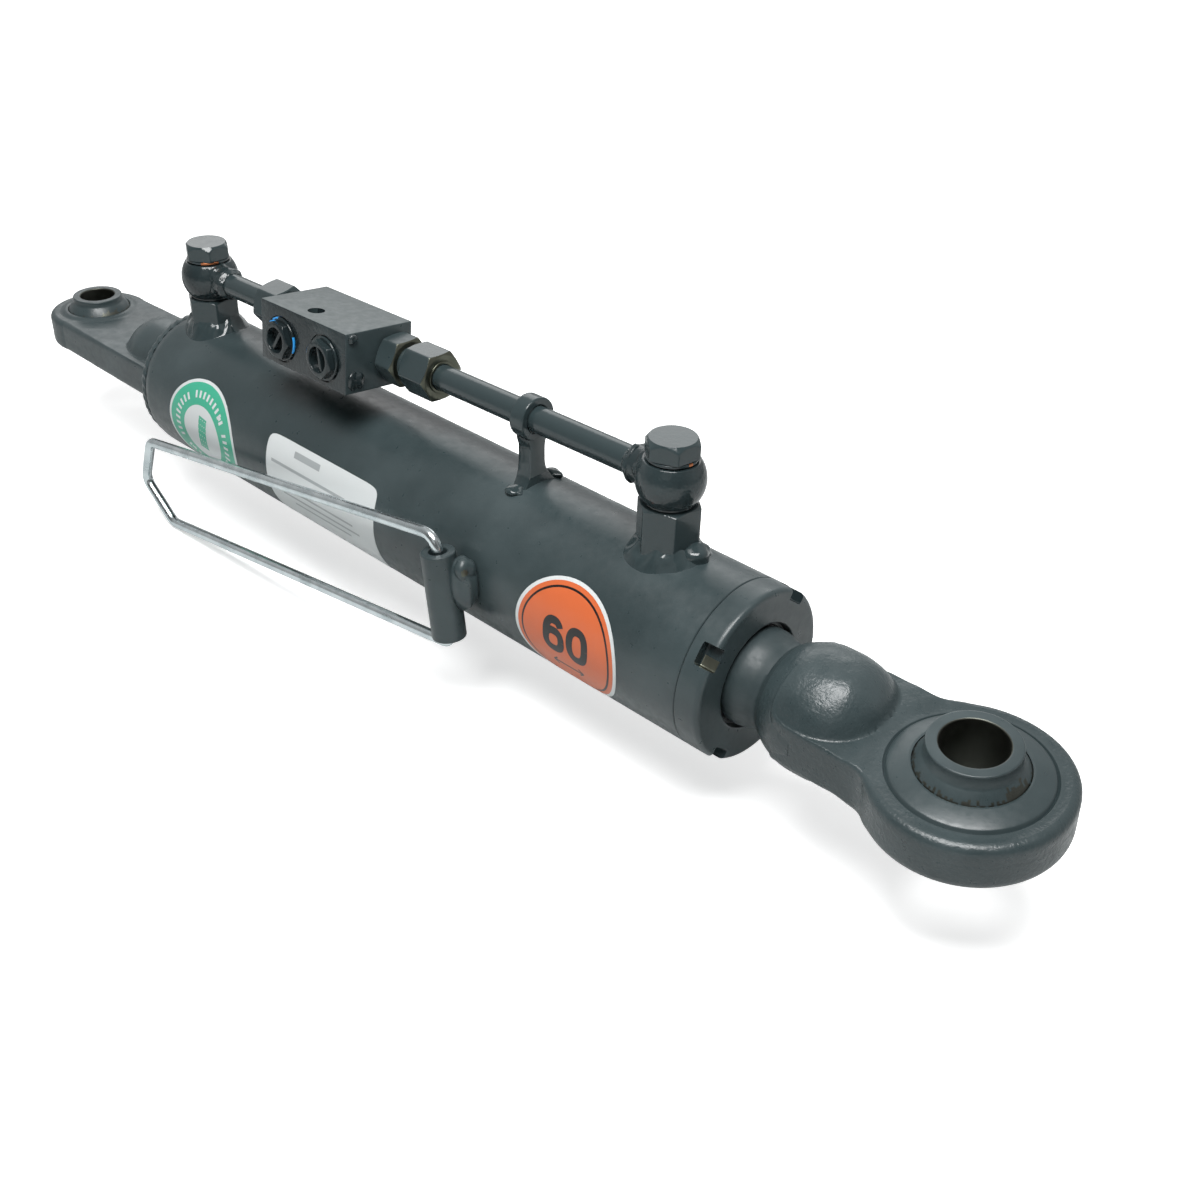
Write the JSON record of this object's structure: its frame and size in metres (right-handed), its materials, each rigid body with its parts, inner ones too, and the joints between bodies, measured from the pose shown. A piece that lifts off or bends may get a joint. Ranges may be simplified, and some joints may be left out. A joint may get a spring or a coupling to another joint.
{
  "type": "hydraulic top link",
  "caption": "Double-acting hydraulic top link with ball ends, welded port bosses, rigid pipes to a pilot-operated check valve block, and a swinging wire carrying handle.",
  "frame": {"origin": "centre of the rear eye's ball, on the barrel's axis", "axes": "+X along the barrel towards the rod eye, +Z towards the port bosses, along the rear bore"},
  "size_m": [0.6673, 0.094, 0.1531],
  "materials": {
    "enamel": "semi-gloss",
    "hard_chrome": "polished",
    "machined_steel": "turned",
    "ball_steel": "semi-gloss",
    "zinc_wire": "zinc plated",
    "copper": "satin",
    "bronze": "satin",
    "nitrile": "matte",
    "polyurethane": "satin",
    "cap_plastic": "gloss"
  },
  "bodies": {
    "barrel": {"barrel_tube": "enamel", "rear_eye": "enamel", "rear_weld": "enamel", "gland_head": "enamel", "rod_seal": "polyurethane", "wiper_ring": "polyurethane", "gland_o_ring": "nitrile", "rod_bush": "bronze", "front_port_boss": "enamel", "front_port_weld": "enamel", "front_banjo": "enamel", "front_banjo_bolt": "enamel", "front_lower_washer": "copper", "front_upper_washer": "copper", "front_pipe": "enamel", "front_adapter": "enamel", "front_union_nut": "enamel", "front_cutting_ring": "machined_steel", "front_port_plug": "cap_plastic", "rear_port_boss": "enamel", "rear_port_weld": "enamel", "rear_banjo": "enamel", "rear_banjo_bolt": "enamel", "rear_lower_washer": "copper", "rear_upper_washer": "copper", "rear_pipe": "enamel", "rear_adapter": "enamel", "rear_union_nut": "enamel", "rear_cutting_ring": "machined_steel", "rear_port_plug": "cap_plastic", "pipe_clip": "enamel", "valve_block": "enamel", "bail_sleeve": "enamel", "bail_lug": "enamel"},
    "piston_rings": {"piston_seal": "polyurethane", "rear_wear_ring": "bronze", "front_wear_ring": "bronze"},
    "rod": {"rod": "hard_chrome", "piston": "machined_steel", "piston_nut": "machined_steel", "rod_eye": "enamel"},
    "front_ball": {"front_eye_ball": "ball_steel"},
    "rear_ball": {"rear_eye_ball": "ball_steel"},
    "bail": {"bail": "zinc_wire"},
    "pilot": {"pilot_piston": "machined_steel"},
    "front_valve": {"front_poppet": "machined_steel"},
    "rear_valve": {"rear_poppet": "machined_steel"}
  },
  "joints": [
    {"name": "piston_slide", "type": "slide", "parent": "barrel", "child": "piston_rings", "axis": [1, 0, 0], "range_m": [0, 0.28]},
    {"name": "rod_spin", "type": "hinge", "parent": "piston_rings", "child": "rod", "pos_m": [0.3, 0, 0], "axis": [1, 0, 0], "continuous": true},
    {"name": "front_ball_tilt", "type": "hinge", "parent": "rod", "child": "front_ball", "pos_m": [0.6, 0, 0], "axis": [1, 0, 0], "range_deg": [-10, 10]},
    {"name": "rear_ball_tilt", "type": "hinge", "parent": "barrel", "child": "rear_ball", "pos_m": [0, 0, 0], "axis": [1, 0, 0], "range_deg": [-10, 10]},
    {"name": "bail_swing", "type": "hinge", "parent": "barrel", "child": "bail", "pos_m": [0.364, -0.047, -0.004], "axis": [-0.1392, 0, 0.9903], "range_deg": [0, 175]},
    {"name": "pilot_slide", "type": "slide", "parent": "barrel", "child": "pilot", "axis": [0.9999, 0, 0.0171], "range_m": [-0.001, 0.001]},
    {"name": "front_check", "type": "slide", "parent": "barrel", "child": "front_valve", "axis": [0.9999, 0, 0.0171], "range_m": [0, 0.0015], "stiffness_N_per_m": 400, "springref_m": -0.004},
    {"name": "rear_check", "type": "slide", "parent": "barrel", "child": "rear_valve", "axis": [-0.9999, 0, -0.0171], "range_m": [0, 0.0015], "stiffness_N_per_m": 400, "springref_m": -0.004}
  ]
}
